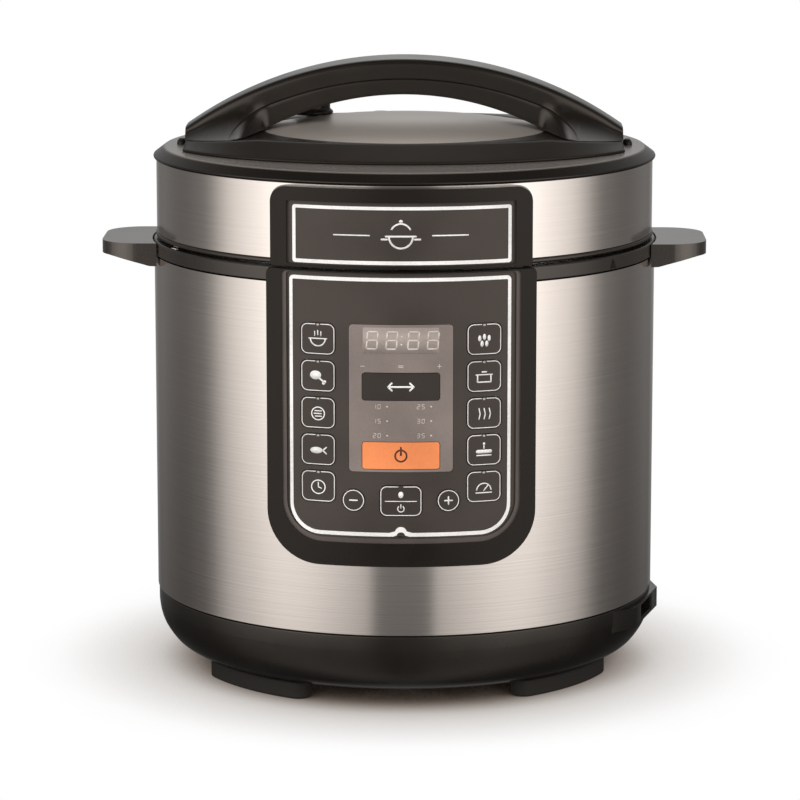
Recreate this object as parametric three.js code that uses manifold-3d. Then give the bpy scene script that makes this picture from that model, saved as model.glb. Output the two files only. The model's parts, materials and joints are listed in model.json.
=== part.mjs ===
// Electric pressure cooker of about six litres, with a turning lid that lifts off its bayonet lugs.
// Millimetres, +Z up. Z = 0 is the underside of the feet, the control panel faces -Y, +X is to its right.
// Everything is drawn round the pot's axis; the last lines move the group so that the origin lies
// below the middle of the whole cooker.
import * as THREE from 'three';
import { mergeVertices } from 'three/addons/utils/BufferGeometryUtils.js';
import Module from 'manifold-3d';

const wasm = await Module();
wasm.setup();

// ---- driving dimensions ----
const bodyRadius = 135;          // steel body
const sheet = 1;                 // steel sheet thickness
const gap = 0.3;                 // clearance kept between touching pieces
const footHeight = 9.2;
const footTurn = 3;              // the feet stand turned from the panel by this many degrees
const baseTop = 42;              // base ring to steel body
const shellTop = 224.4;          // steel body to collar
const collarTop = 232.2;
const collarRadius = 135.4;
const lidBottom = 233.4;
const lidRadius = 133.5;         // steel band of the lid
const rimBottom = 275.4;         // top rim of the lid
const rimTop = 281.3;
const coverTop = 290.3;
const domeRadius = 76;
const domeRise = 6;
const crownTop = 328.9;          // top of the lid handle
const crownArc = 204;            // arc radii of the lid handle's curves
const creaseTop = 318;
const creaseArc = 194;
const gripTop = 309.7;
const gripArc = 156.1;
const handleReach = 117;         // half length of the lid handle and cover
const coverOpening = domeRadius + 0.5;
const coverDrop = 4.8;           // how far the cover's top falls from its opening to its ends
const coverPlan = [122, 79.5];   // half axes of the edge round the cover's top
const gripHalfWidth = 17.5;
const sideHandleReach = 162.2;
const sideHandleHalfWidth = 34;
const panelInner = 135.8;        // radii of the control panel's layers
const faceOuter = 137.8;
const keyOuter = 138.6;
const bezelOuter = 140.2;
const potRadius = 109;
const potWall = 1.4;
const potBottom = 60.5;
const potRim = 231;
const lugCount = 6;
const lugHalfAngle = 13;
const valvePlace = [-51, 36];
const floatPlace = [-14, 62];
const inletAzimuth = 74.3;       // degrees from the front towards +X
const inletReach = 136.3;        // flat outer face of the inlet, from the axis
const inletHalfWidth = 13;       // socket
const inletRange = [30.3, 39];
const cupBack = 160.2;

const roundSides = 36;
const panelSides = 72;
const smallSides = 16;

// ---- materials ----
const finish = (color, roughness, metalness) =>
  new THREE.MeshStandardMaterial({ color, roughness, metalness });
const steel = finish(0xb9b2aa, 0.32, 1.0);
const aluminium = finish(0xc4c4c2, 0.45, 1.0);
const blackPlastic = finish(0x26221f, 0.42, 0.0);
const satinPlastic = finish(0x2e2a27, 0.55, 0.0);
const panelPlastic = finish(0x443b36, 0.5, 0.0);
const displayPlastic = finish(0x87786f, 0.4, 0.0);
const keyPlastic = finish(0x4a413c, 0.5, 0.0);
const orangePlastic = finish(0xf28b4c, 0.5, 0.0);
const rubber = finish(0x1a1918, 0.85, 0.0);
const silicone = finish(0xd9d7d0, 0.6, 0.0);
const clearPlastic = finish(0xd5dadb, 0.2, 0.0);
const boardGreen = finish(0x2c5a3a, 0.6, 0.0);
const brass = finish(0xb9934a, 0.35, 1.0);
clearPlastic.transparent = true;
clearPlastic.opacity = 0.45;

// ---- solids ----
const cooker = new THREE.Group();

function signedVolume(position, triangles) {
  const a = new THREE.Vector3();
  const b = new THREE.Vector3();
  const c = new THREE.Vector3();
  let volume = 0;
  for (let i = 0; i < triangles.length; i += 3) {
    a.fromBufferAttribute(position, triangles[i]);
    b.fromBufferAttribute(position, triangles[i + 1]);
    c.fromBufferAttribute(position, triangles[i + 2]);
    volume += a.dot(b.cross(c));
  }
  return volume;
}

// A closed geometry as a manifold solid, with its faces turned outwards.
function solid(geometry) {
  geometry.deleteAttribute('normal');
  geometry.deleteAttribute('uv');
  const welded = mergeVertices(geometry, 1e-4);
  const index = welded.index.array;
  const position = welded.attributes.position;
  const triangles = [];
  for (let i = 0; i < index.length; i += 3) {
    const [a, b, c] = [index[i], index[i + 1], index[i + 2]];
    if (a !== b && b !== c && c !== a) triangles.push(a, b, c);
  }
  if (signedVolume(position, triangles) < 0) triangles.reverse();
  return new wasm.Manifold(new wasm.Mesh({
    numProp: 3,
    vertProperties: new Float32Array(position.array),
    triVerts: new Uint32Array(triangles),
  }));
}

function addNode(name, shape, material) {
  const result = shape.getMesh();
  const geometry = new THREE.BufferGeometry();
  geometry.setAttribute('position', new THREE.BufferAttribute(result.vertProperties.slice(), 3));
  geometry.setIndex(new THREE.BufferAttribute(result.triVerts.slice(), 1));
  geometry.computeVertexNormals();
  const mesh = new THREE.Mesh(geometry, material);
  mesh.name = name;
  cooker.add(mesh);
}

// A solid of revolution about +Z from [radius, height] points; profiles off the axis close on themselves.
function turned(points, sides = roundSides) {
  const profile = points.map(([r, z]) => new THREE.Vector2(r, z));
  const onAxis = points[0][0] === 0 && points.at(-1)[0] === 0;
  if (!onAxis) profile.push(profile[0].clone());
  const geometry = new THREE.LatheGeometry(profile, sides);
  geometry.rotateX(Math.PI / 2);
  return solid(geometry);
}

function turnedAt(points, [x, y], sides = smallSides) {
  return turned(points, sides).translate([x, y, 0]);
}

// A plan shape raised from one height to another.
function prism(shape, low, high) {
  const geometry = new THREE.ExtrudeGeometry(shape, { depth: high - low, bevelEnabled: false, curveSegments: 2 });
  geometry.translate(0, 0, low);
  return solid(geometry);
}

// A shape drawn in X and Z, and run along Y.
function frontPrism(shape, near, far) {
  const geometry = new THREE.ExtrudeGeometry(shape, { depth: far - near, bevelEnabled: false, curveSegments: 2 });
  geometry.rotateX(Math.PI / 2);
  geometry.translate(0, far, 0);
  return solid(geometry);
}

const radians = (degrees) => degrees * Math.PI / 180;

function box([x0, x1], [y0, y1], [z0, z1]) {
  const geometry = new THREE.BoxGeometry(x1 - x0, y1 - y0, z1 - z0);
  geometry.translate((x0 + x1) / 2, (y0 + y1) / 2, (z0 + z1) / 2);
  return solid(geometry);
}

function sector(inner, outer, centre, halfAngle) {
  const shape = new THREE.Shape();
  const from = radians(centre - halfAngle - 90);
  const to = radians(centre + halfAngle - 90);
  shape.absarc(0, 0, outer, from, to, false);
  shape.absarc(0, 0, inner, to, from, true);
  shape.closePath();
  return shape;
}

function roundedRect([x0, x1], [z0, z1], low, high = low) {
  const shape = new THREE.Shape();
  shape.moveTo(x0 + low, z0);
  shape.lineTo(x1 - low, z0);
  shape.absarc(x1 - low, z0 + low, low, -Math.PI / 2, 0, false);
  shape.absarc(x1 - high, z1 - high, high, 0, Math.PI / 2, false);
  shape.absarc(x0 + high, z1 - high, high, Math.PI / 2, Math.PI, false);
  shape.absarc(x0 + low, z0 + low, low, Math.PI, 1.5 * Math.PI, false);
  return shape;
}

function circleShape(x, z, radius) {
  const shape = new THREE.Shape();
  shape.absarc(x, z, radius, 0, Math.PI, false);
  shape.absarc(x, z, radius, Math.PI, 2 * Math.PI, false);
  return shape;
}

// A plate bent round the pot's axis, cut to an outline seen from the front.
function bentPlate(outline, inner, outer) {
  const wall = turned([[inner, 70], [outer, 70], [outer, 285], [inner, 285]], panelSides);
  return wall.intersect(frontPrism(outline, -170, -60));
}

// Closed sections of equal point counts joined in turn, with flat ends.
function loft(sections) {
  const count = sections[0].length;
  const positions = sections.flat(2);
  const index = [];
  for (let s = 0; s + 1 < sections.length; s += 1) {
    for (let i = 0; i < count; i += 1) {
      const j = (i + 1) % count;
      const [a, b, c, d] = [s * count + i, s * count + j, (s + 1) * count + j, (s + 1) * count + i];
      index.push(a, b, c, a, c, d);
    }
  }
  const last = (sections.length - 1) * count;
  for (let i = 1; i + 1 < count; i += 1) {
    index.push(0, i + 1, i);
    index.push(last, last + i, last + i + 1);
  }
  const geometry = new THREE.BufferGeometry();
  geometry.setAttribute('position', new THREE.Float32BufferAttribute(positions, 3));
  geometry.setIndex(index);
  return solid(geometry);
}

// Closed loops joined in turn, and the last one to the first: a ring with an opening.
function loopRing(loops) {
  const count = loops[0].length;
  const index = [];
  for (let s = 0; s < loops.length; s += 1) {
    const next = (s + 1) % loops.length;
    for (let i = 0; i < count; i += 1) {
      const j = (i + 1) % count;
      index.push(s * count + i, s * count + j, next * count + j);
      index.push(s * count + i, next * count + j, next * count + i);
    }
  }
  const geometry = new THREE.BufferGeometry();
  geometry.setAttribute('position', new THREE.Float32BufferAttribute(loops.flat(2), 3));
  geometry.setIndex(index);
  return solid(geometry);
}

// ---- base ----
function makeFeet() {
  const places = { front_left: -48, front_right: 48, rear_right: 132, rear_left: -132 };
  for (const [name, azimuth] of Object.entries(places)) {
    addNode(`foot_${name}`, prism(sector(104, 117.5, azimuth + footTurn, 19), 0, footHeight), rubber);
  }
}

function makeBase() {
  const top = baseTop - gap;
  const ring = turned([
    [117, 9.5], [122, 11.5], [127.5, 16], [131.5, 22], [133.6, 28], [134.4, 34], [134.4, top],
    [131.6, top], [131.6, 34], [128.6, 24], [121, 14.5], [96, 13], [96, 9.5],
  ]);
  const [socketLow, socketHigh] = inletRange;
  const wayHalf = inletHalfWidth + 0.5;
  const inletWay = box([-wayHalf, wayHalf], [-140, -112], [socketLow - 0.4, socketHigh + 0.4])
    .rotate([0, 0, inletAzimuth]);
  addNode('base_ring', ring.subtract(inletWay), blackPlastic);

  const ventCount = 10;
  let plate = turned([[0, 10.2], [95.4, 10.2], [95.4, 11.4], [0, 11.4]]);
  for (let i = 0; i < ventCount; i += 1) {
    plate = plate.subtract(prism(sector(62, 84, (i + 0.5) * 360 / ventCount, 3), 5, 15));
  }
  addNode('bottom_plate', plate, steel);
}

// ---- body ----
function makeShell() {
  const inner = bodyRadius - sheet;
  addNode('outer_shell', turned([
    [bodyRadius, baseTop], [bodyRadius, shellTop], [inner, shellTop], [inner, baseTop],
  ]), steel);
  addNode('housing_collar', turned([
    [collarRadius, shellTop + gap], [collarRadius, collarTop - 0.8], [collarRadius - 0.8, collarTop],
    [127.2, collarTop], [127.2, 218], [116.6, 218], [116.6, 216], [129.2, 216], [129.2, shellTop + gap],
  ]), blackPlastic);
}

function makeSideHandles() {
  const tipRadius = 20;
  const tipThickness = 7;
  const rootThickness = 12.5;
  const cut = turned([[0, 200], [bodyRadius + 0.9, 200], [bodyRadius + 0.9, 240], [0, 240]]);
  for (const [name, side] of Object.entries({ left: -1, right: 1 })) {
    const plan = new THREE.Shape();
    const reach = sideHandleReach * side;
    const corner = (sideHandleReach - tipRadius) * side;
    plan.moveTo(120 * side, -sideHandleHalfWidth);
    plan.lineTo(corner, -sideHandleHalfWidth);
    plan.absarc(corner, -sideHandleHalfWidth + tipRadius, tipRadius, -Math.PI / 2, side > 0 ? 0 : -Math.PI, side < 0);
    plan.lineTo(reach, sideHandleHalfWidth - tipRadius);
    plan.absarc(corner, sideHandleHalfWidth - tipRadius, tipRadius, side > 0 ? 0 : Math.PI, Math.PI / 2, side < 0);
    plan.lineTo(120 * side, sideHandleHalfWidth);
    plan.closePath();
    const profile = new THREE.Shape([
      [120, collarTop - 0.4], [sideHandleReach + 1, collarTop - 0.4], [sideHandleReach + 1, collarTop - tipThickness],
      [157, collarTop - tipThickness], [146, collarTop - 9.2], [136, collarTop - rootThickness],
      [120, collarTop - rootThickness],
    ].map(([x, z]) => new THREE.Vector2(x * side, z)));
    const block = prism(plan, 210, 240).intersect(frontPrism(profile, -60, 60));
    addNode(`side_handle_${name}`, block.subtract(cut), satinPlastic);
  }
}

// ---- heating ----
function makeHeating() {
  const wall = 115;
  const cup = turned([
    [22, 46], [109, 46], [113.6, 48.4], [wall, 53], [wall, 214], [wall, 226], [118.5, 226], [118.5, 229.2],
    [113.5, 229.2], [113.5, 54], [112.4, 50.4], [108.4, 48.2], [22, 48.2],
  ]);
  let pot = cup;
  for (let i = 0; i < lugCount; i += 1) {
    pot = pot.add(prism(sector(116, 121.6, i * 360 / lugCount, lugHalfAngle), 226, 229.2));
  }
  addNode('outer_pot', pot, steel);
  addNode('heating_plate', turned([
    [15, 50], [80, 50], [86, 52], [90, 56], [90, 58], [86, 60], [15, 60],
  ], 36), aluminium);
  addNode('sensor_plunger', turned([
    [0, 42.5], [3.6, 42.5], [3.6, 57], [12.5, 57], [12.5, 59.4], [11.6, 60.1], [0, 60.1],
  ], smallSides), aluminium);
  addNode('sensor_bracket', turned([
    [4.2, 41.6], [28, 41.6], [28, 45.4], [26.4, 45.4], [26.4, 43.2], [4.2, 43.2],
  ], smallSides), steel);
  makeSensorSpring(6.5, 0.6, 43.6 + 0.6, 56.3, 4);
  addNode('pressure_switch', box([-19, 19], [-11, 11], [24, 40]), satinPlastic);
}

function makeSensorSpring(radius, wire, low, high, turns) {
  const steps = turns * 8;
  const points = [];
  for (let i = 0; i <= steps; i += 1) {
    const turn = i / steps;
    const angle = 2 * Math.PI * turns * turn;
    points.push(new THREE.Vector3(radius * Math.cos(angle), radius * Math.sin(angle), low + (high - low) * turn));
  }
  const section = new THREE.Shape();
  section.absarc(0, 0, wire, 0, 2 * Math.PI, false);
  const path = new THREE.CatmullRomCurve3(points);
  const coil = new THREE.ExtrudeGeometry(section, { steps, extrudePath: path, curveSegments: 2 });
  addNode('sensor_spring', solid(coil), steel);
}

// ---- electronics ----
function makeBoards() {
  let power = box([32, 96], [-34, 34], [20, 21.6]);
  power = power.add(box([40, 58], [-24, -6], [21.5, 38]));
  power = power.add(box([66, 88], [-20, 8], [21.5, 34]));
  power = power.add(box([44, 72], [14, 28], [21.5, 31]));
  addNode('power_board', power, boardGreen);
  let control = box([-45, 45], [-121.4, -119.8], [104, 206]);
  control = control.add(box([-20, 20], [-126, -121.3], [150, 180]));
  addNode('control_board', control, boardGreen);
}

// ---- control panel ----
// Key outlines as [x range, z range, corner radius], seen from the front.
const sideKeyRows = 5;
const sideKeyTop = 205;
const sideKeyPitch = 19.1;
const sideKeyHeight = 16.3;
const sideKeys = { left: [-51.2, -33.5], right: [33.5, 51.2] };
const windowRange = [[-26.5, 26.5], [129, 205]];
const roundKeyRadius = 5.8;

function keyOutlines() {
  const keys = {
    key_select: roundedRect([-19.7, 19.7], [166.2, 180.2], 2.5),
    key_cook: roundedRect([-19.7, 19.7], [130.6, 144.5], 2.5),
    key_less: circleShape(-24.3, 114, roundKeyRadius),
    key_more: circleShape(24.3, 114, roundKeyRadius),
    key_keep_warm: roundedRect([-10.8, 10.8], [106, 122], 4),
  };
  for (const [side, range] of Object.entries(sideKeys)) {
    for (let row = 0; row < sideKeyRows; row += 1) {
      const top = sideKeyTop - row * sideKeyPitch;
      keys[`key_${side}_${row + 1}`] = roundedRect(range, [top - sideKeyHeight, top], 4);
    }
  }
  return keys;
}

// The same outline with a clearance round it, as a hole for a key.
function grown(outline, clearance) {
  const points = outline.getPoints(2);
  const bounds = new THREE.Box2().setFromPoints(points);
  const middle = bounds.getCenter(new THREE.Vector2());
  const size = bounds.getSize(new THREE.Vector2());
  const scale = new THREE.Vector2(1 + 2 * clearance / size.x, 1 + 2 * clearance / size.y);
  return new THREE.Shape(points.map((p) => p.clone().sub(middle).multiply(scale).add(middle)));
}

function makePanel() {
  const keyClearance = 0.45;
  const faceRange = [[-61, 61], [92, 231.6]];
  const bezelOutline = roundedRect([-69, 69], [79.8, collarTop - 0.3], 27, 3);
  const faceHole = roundedRect([-61.3, 61.3], [91.7, 231.9], 21, 3);
  const bezel = bentPlate(bezelOutline, panelInner, bezelOuter);
  addNode('panel_bezel', bezel.subtract(frontPrism(faceHole, -170, -60)), satinPlastic);

  const keys = keyOutlines();
  const windowOutline = roundedRect(...windowRange, 2);
  let face = bentPlate(roundedRect(...faceRange, 20.7, 2.7), panelInner, faceOuter);
  let window = bentPlate(windowOutline, panelInner + 0.4, faceOuter + 0.2);
  face = face.subtract(frontPrism(grown(windowOutline, gap), -170, -60));
  for (const [name, outline] of Object.entries(keys)) {
    const hole = frontPrism(grown(outline, keyClearance), -170, -60);
    const inWindow = name === 'key_select' || name === 'key_cook';
    if (inWindow) window = window.subtract(hole);
    else face = face.subtract(hole);
    const material = name === 'key_cook' ? orangePlastic : keyPlastic;
    addNode(name, bentPlate(outline, faceOuter - 0.9, keyOuter), material);
  }
  addNode('panel_face', face, panelPlastic);
  addNode('display_window', window, displayPlastic);
}

// ---- power inlet ----
function makeInlet() {
  const turn = [0, 0, inletAzimuth];
  const [low, high] = inletRange;
  const half = inletHalfWidth;
  const plan = new THREE.Shape([
    [-54, -121], [-26, -inletReach], [26, -inletReach], [54, -121],
  ].map(([x, y]) => new THREE.Vector2(x, y)));
  const ringCut = turned([[0, 10], [bodyRadius - 0.2, 10], [bodyRadius - 0.2, 60], [0, 60]], panelSides);
  const socketHole = box([-half - gap, half + gap], [-160, -100], [low - gap, high + gap]);
  const housing = prism(plan, low - 1, high + 1).subtract(socketHole).rotate(turn).subtract(ringCut);
  addNode('inlet_housing', housing, blackPlastic);

  const recess = box([-half + 2, half - 2], [-160, -124], [low + 1, high - 1]);
  const socket = box([-half, half], [-inletReach + gap, -119], [low, high]).subtract(recess);
  addNode('inlet_socket', socket.rotate(turn), satinPlastic);

  let contacts = box([-10.6, 10.6], [-125.8, -124.3], [low + 1.4, high - 1.4]);
  for (const x of [-6.5, 0, 6.5]) {
    contacts = contacts.add(box([x - 0.9, x + 0.9], [-131.6, -125.5], [32.9, 36.4]));
  }
  addNode('inlet_contacts', contacts.rotate(turn), brass);
}

// ---- condensation cup ----
function makeCup() {
  const cupFront = bodyRadius + 4;
  const wall = 1.8;
  const halfWidth = 32;
  const low = 146;
  const high = 202;
  const ringCut = (radius) => turned([[0, 100], [radius, 100], [radius, 240], [0, 240]], panelSides);
  const outline = (inset) => {
    const shape = new THREE.Shape();
    const radius = 12 - inset;
    shape.moveTo(-halfWidth + inset, 120);
    shape.lineTo(halfWidth - inset, 120);
    shape.absarc(halfWidth - inset - radius, cupBack - inset - radius, radius, 0, Math.PI / 2, false);
    shape.absarc(-halfWidth + inset + radius, cupBack - inset - radius, radius, Math.PI / 2, Math.PI, false);
    shape.closePath();
    return shape;
  };
  const outer = prism(outline(0), low, high).subtract(ringCut(cupFront));
  const inner = prism(outline(wall), low + wall, high + 5).subtract(ringCut(cupFront + wall));
  addNode('condensation_cup', outer.subtract(inner), clearPlastic);
  const bracketPlan = prism(sector(bodyRadius + 0.8, cupFront - 0.4, 180, 11), 140, 222);
  addNode('cup_bracket', bracketPlan, blackPlastic);
}

// ---- pot and seal ----
function makePot() {
  const inner = potRadius - potWall;
  addNode('inner_pot', turned([
    [0, potBottom], [98, potBottom], [103.5, 61.8], [107.4, 65.6], [potRadius, 71], [potRadius, 226],
    [111, 229.4], [117.4, 229.7], [117.4, potRim], [110.4, potRim - 0.2], [inner, 227], [inner, 71.6],
    [105.9, 66.8], [102.8, 63.8], [98, 62.7], [0, 62.7],
  ]), steel);
  addNode('sealing_ring', turned([
    [106.5, 231.9], [117.6, 231.9], [118.6, 236], [118.6, 242.6], [115, 242.6], [112, 239], [108, 237], [106.5, 235],
  ]), silicone);
  const supportSides = 6;
  const wire = [];
  for (let i = 0; i < supportSides; i += 1) {
    const angle = 2 * Math.PI * i / supportSides;
    wire.push([104 + 1.3 * Math.cos(angle), 239.5 + 1.3 * Math.sin(angle)]);
  }
  addNode('seal_support_ring', turned(wire), steel);
}

// ---- lid ----
function makeLidPlate() {
  let plate = turned([
    [0, 243.6], [119.4, 243.6], [122.4, 240.6], [122.4, 221.6], [124, 221.6], [124, 241.4], [120.2, 245.2], [0, 245.2],
  ]);
  const hole = (place, radius) => turnedAt([[0, 200], [radius, 200], [radius, 320], [0, 320]], place);
  plate = plate.subtract(hole(valvePlace, 3.7)).subtract(hole(floatPlace, 2.7));
  for (let i = 0; i < lugCount; i += 1) {
    const lug = prism(sector(122.1, 123.4, i * 360 / lugCount, lugHalfAngle), 221.6, 224.6);
    plate = plate.add(lug);
  }
  addNode('lid_plate', plate, steel);
  return hole;
}

// How far along the cover's sloping ends a place lies: 0 at the opening, 1 at the tips.
const endShare = (x) =>
  THREE.MathUtils.clamp((Math.abs(x) - coverOpening) / (handleReach - coverOpening), 0, 1);

const ellipseLoop = ([a, b], cut, z, sides, drop = 0) => {
  const loop = [];
  for (let i = 0; i < sides; i += 1) {
    const angle = 2 * Math.PI * (i + 0.5) / sides;
    const [c, s] = [Math.cos(angle), Math.sin(angle)];
    const radius = Math.min(1 / Math.hypot(c / a, s / b), cut / Math.abs(c));
    loop.push([radius * c, radius * s, z - drop * endShare(radius * c)]);
  }
  return loop;
};

function makeLidShells(hole) {
  const rimInner = 82;
  addNode('lid_lower_rim', turned([
    [124.4, lidBottom], [133.4, lidBottom], [134, lidBottom + 0.6], [134, lidBottom + 2.4], [124.4, lidBottom + 2.4],
  ]), blackPlastic);
  addNode('lid_skirt', turned([
    [lidRadius, lidBottom + 2.7], [lidRadius, rimBottom - gap], [lidRadius - sheet, rimBottom - gap],
    [lidRadius - sheet, lidBottom + 2.7],
  ]), steel);
  addNode('lid_top_rim', turned([
    [132, rimBottom], [134.4, rimBottom], [135, 276], [135, 276.8], [129, rimTop],
    [rimInner, rimTop], [rimInner, 278.8], [128.4, 278.8],
  ]), blackPlastic);
  const sides = 56;
  const opening = [coverOpening, coverOpening];
  addNode('lid_cover', loopRing([
    ellipseLoop([127, 97], handleReach, rimTop + gap, sides),
    ellipseLoop(coverPlan, handleReach - 0.6, coverTop, sides, coverDrop),
    ellipseLoop(opening, 200, coverTop, sides),
    ellipseLoop(opening, 200, rimTop + gap, sides),
  ]), blackPlastic);
  const steps = 4;
  const crown = [];
  for (let i = 0; i <= steps; i += 1) {
    const radius = (domeRadius - 0.2) * i / steps;
    crown.push([radius, coverTop - 0.2 + domeRise * (1 - (radius / domeRadius) ** 2)]);
  }
  const under = crown.map(([r, z]) => [r, z - sheet]).reverse();
  const dome = turned([...crown, ...under]);
  addNode('lid_dome', dome.subtract(hole(valvePlace, 8)).subtract(hole(floatPlace, 5.2)), steel);
}

// Heights of the lid handle's curves at a distance from its middle.
const arc = (top, radius) => (x) => top - radius + Math.sqrt(radius * radius - x * x);
const crownHeight = arc(crownTop, crownArc);
const creaseHeight = arc(creaseTop, creaseArc);
const legFloor = (x) => coverTop - coverDrop * endShare(x) + gap;
const gripHeight = (x) => Math.max(legFloor(x), arc(gripTop, gripArc)(x));

// Half the handle's width: upright in the middle, and spread over the cover by its legs.
function handleHalfWidth(x, z) {
  const [a, b] = coverPlan;
  const top = gripHalfWidth - 2 * (Math.abs(x) / handleReach) ** 4;
  const edge = b * Math.sqrt(1 - (x / a) ** 2) - 1.5;
  const spread = THREE.MathUtils.smoothstep(Math.abs(x), 72, 90);
  const level = (z - legFloor(x)) / (crownHeight(x) - legFloor(x));
  return top + (edge - top) * spread * (1 - level) ** 2.6;
}

function gripSection(x, low, high, topCut) {
  const edge = Math.min(1.5, 0.3 * (high - low));
  const drop = Math.min(topCut, 0.4 * (high - low));
  const heights = [0, 0.25, 0.55, 1].map((part) => low + edge / 2 + part * (high - drop - low - edge / 2));
  const side = [
    [handleHalfWidth(x, low) - edge, low],
    ...heights.map((z) => [handleHalfWidth(x, z), z]),
    [handleHalfWidth(x, high) - 2.5 * drop, high],
  ];
  return [...side.map(([y, z]) => [x, y, z]), ...side.map(([y, z]) => [x, -y, z]).reverse()];
}

function makeLidHandle() {
  const lowerReach = 95;
  const lowerSections = [];
  const upperSections = [];
  const steps = 14;
  for (let i = -steps; i <= steps; i += 1) {
    const x = lowerReach * i / steps;
    lowerSections.push(gripSection(x, gripHeight(x), creaseHeight(x), 0.4));
    upperSections.push(gripSection(x, creaseHeight(x) + gap, crownHeight(x), 2.4));
  }
  const ends = [98, 104, 111, handleReach].map((x) => gripSection(x, legFloor(x), crownHeight(x), 1));
  const mirrored = ends.map((section) => section.map(([x, y, z]) => [-x, y, z])).reverse();
  addNode('handle_grip', loft(lowerSections), satinPlastic);
  addNode('lid_handle', loft([...mirrored, ...upperSections, ...ends]), satinPlastic);
}

function makeLidPanel() {
  const upperInner = lidRadius + 0.9;
  const upperOuter = 138.6;
  const bezel = bentPlate(roundedRect([-67, 67], [lidBottom, 274.2], 1, 8), upperInner, upperOuter);
  const pocket = frontPrism(roundedRect([-57.6, 57.6], [lidBottom + 1.6, 266.4], 1), -170, -60);
  const floor = bentPlate(roundedRect([-59, 59], [234, 268], 1), upperInner, 136);
  addNode('upper_bezel', bezel.subtract(pocket).add(floor), satinPlastic);
  const plateOutline = roundedRect([-57.3, 57.3], [lidBottom + 1.9, 266.1], 1);
  addNode('name_plate', bentPlate(plateOutline, 136.3, 138), panelPlastic);
}

function makeValves() {
  addNode('vent_pipe', turnedAt([
    [1.6, 236.5], [3.2, 236.5], [3.2, 298], [1.6, 298],
  ], valvePlace, 12), steel);
  addNode('pressure_release_valve', turnedAt([
    [0, 300.5], [3.7, 300.5], [3.7, 293.8], [11.5, 293.8], [11.5, 295.8], [10, 296.6], [10, 306], [8.6, 308], [0, 308],
  ], valvePlace), blackPlastic);
  addNode('anti_block_shield', turnedAt([
    [0, 231.8], [10.4, 231.8], [11, 232.6], [11, 243.2], [10, 243.2], [10, 232.9], [0, 232.9],
  ], valvePlace), steel);
  addNode('float_valve', turnedAt([
    [0, 235], [3.6, 235], [3.6, 236.1], [2.2, 236.1], [2.2, 289.4], [4.6, 290], [4.6, 292], [3.8, 292.6], [0, 292.6],
  ], floatPlace, 12), steel);
  addNode('float_seal', turnedAt([
    [2.6, 236.5], [5.6, 236.5], [5.6, 238.6], [2.6, 238.6],
  ], floatPlace, 12), silicone);
}

makeFeet();
makeBase();
makeShell();
makeSideHandles();
makeHeating();
makeBoards();
makePanel();
makeInlet();
makeCup();
makePot();
makeLidShells(makeLidPlate());
makeLidHandle();
makeLidPanel();
makeValves();

const whole = new THREE.Box3().setFromObject(cooker);
cooker.position.y = -(whole.min.y + whole.max.y) / 2;

export default cooker;
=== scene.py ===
# Electric pressure cooker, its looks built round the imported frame. Profiles are in millimetres.
import json
import math

import bmesh
import bpy
from mathutils import Matrix, Vector

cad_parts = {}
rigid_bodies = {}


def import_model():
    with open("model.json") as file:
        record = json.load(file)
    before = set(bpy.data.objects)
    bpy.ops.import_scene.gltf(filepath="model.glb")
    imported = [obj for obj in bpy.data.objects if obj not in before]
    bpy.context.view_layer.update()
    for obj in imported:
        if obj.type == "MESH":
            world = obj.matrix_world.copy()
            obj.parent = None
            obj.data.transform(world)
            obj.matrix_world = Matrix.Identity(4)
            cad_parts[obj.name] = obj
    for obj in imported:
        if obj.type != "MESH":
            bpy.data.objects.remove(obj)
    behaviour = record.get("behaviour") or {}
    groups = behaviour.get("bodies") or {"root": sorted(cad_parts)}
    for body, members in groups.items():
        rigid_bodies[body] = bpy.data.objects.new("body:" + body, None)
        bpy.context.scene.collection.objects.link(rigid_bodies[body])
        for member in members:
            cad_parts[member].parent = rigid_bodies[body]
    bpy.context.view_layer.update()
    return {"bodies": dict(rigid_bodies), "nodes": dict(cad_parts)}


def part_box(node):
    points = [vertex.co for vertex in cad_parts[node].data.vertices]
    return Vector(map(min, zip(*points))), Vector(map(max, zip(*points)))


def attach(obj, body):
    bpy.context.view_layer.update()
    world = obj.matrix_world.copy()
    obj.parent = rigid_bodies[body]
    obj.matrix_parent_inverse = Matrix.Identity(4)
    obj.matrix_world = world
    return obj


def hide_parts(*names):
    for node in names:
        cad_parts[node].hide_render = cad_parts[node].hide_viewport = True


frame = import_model()
print("frame loaded")

mm = 0.001
shellLow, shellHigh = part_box("outer_shell")
axisY = (shellLow.y + shellHigh.y) / 2  # everything is drawn round the pot's axis, then moved here
roundSides = 192


# finishes

class Wire:  # a socket that can stand in a sum
    def __init__(self, finish, socket):
        self.finish = finish
        self.socket = socket

    def __add__(self, other):
        return self.finish.maths("ADD", self, other)

    def __rsub__(self, other):
        return self.finish.maths("SUBTRACT", other, self)

    def __mul__(self, other):
        return self.finish.maths("MULTIPLY", self, other)


class Graph:  # the nodes of a material or of the world
    def __init__(self, owner):
        owner.use_nodes = True
        self.tree = owner.node_tree
        self.tree.nodes.clear()

    def node(self, kind, settings=None, inputs=None):
        made = self.tree.nodes.new(kind)
        for key, value in (settings or {}).items():
            setattr(made, key, value)
        for key, value in (inputs or {}).items():
            if isinstance(value, Wire):
                self.tree.links.new(value.socket, made.inputs[key])
            else:
                made.inputs[key].default_value = value
        return made

    def maths(self, operation, *terms):
        made = self.node("ShaderNodeMath", {"operation": operation}, dict(enumerate(terms)))
        return Wire(self, made.outputs[0])

    def ranged(self, value, low, high, soft=True, **ends):
        made = self.node("ShaderNodeMapRange", {"interpolation_type": "SMOOTHSTEP" if soft else "LINEAR"}, {
            "Value": value, "From Min": low, "From Max": high})
        for key, level in ends.items():
            made.inputs[key.replace("_", " ")].default_value = level
        return Wire(self, made.outputs[0])


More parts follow.
